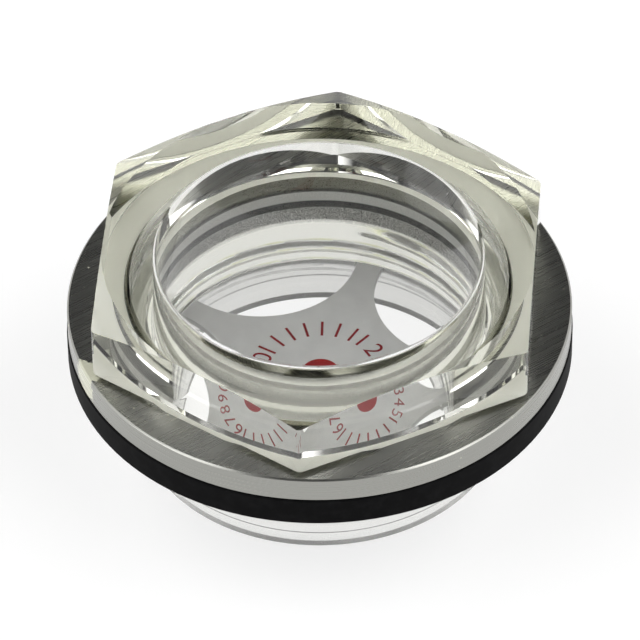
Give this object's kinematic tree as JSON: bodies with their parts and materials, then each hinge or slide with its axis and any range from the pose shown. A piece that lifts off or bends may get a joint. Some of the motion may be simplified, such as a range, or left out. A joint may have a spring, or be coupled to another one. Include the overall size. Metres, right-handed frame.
{
  "type": "tank level gauge",
  "caption": "Round level sight plug: clear hexagon head on a hollow threaded spigot, with a metal ring, a packing ring and a lobed contrast screen inside.",
  "frame": {"origin": "on the axis, in the sealing plane: the underside of the packing ring, which meets the tank", "axes": "+Z along the thread axis, out of the tank and through the window; +Y through one corner of the hexagon head"},
  "size_m": [0.0446, 0.0446, 0.0205],
  "materials": {
    "clear_plastic": "clear, moulded, gloss",
    "bare_metal": "brushed",
    "packing_rubber": "matt",
    "screen_metal": "satin grey with red print"
  },
  "bodies": {
    "root": {"clear_plug": "clear_plastic", "metal_washer": "bare_metal", "packing_ring": "packing_rubber", "contrast_screen": "screen_metal"}
  },
  "joints": []
}
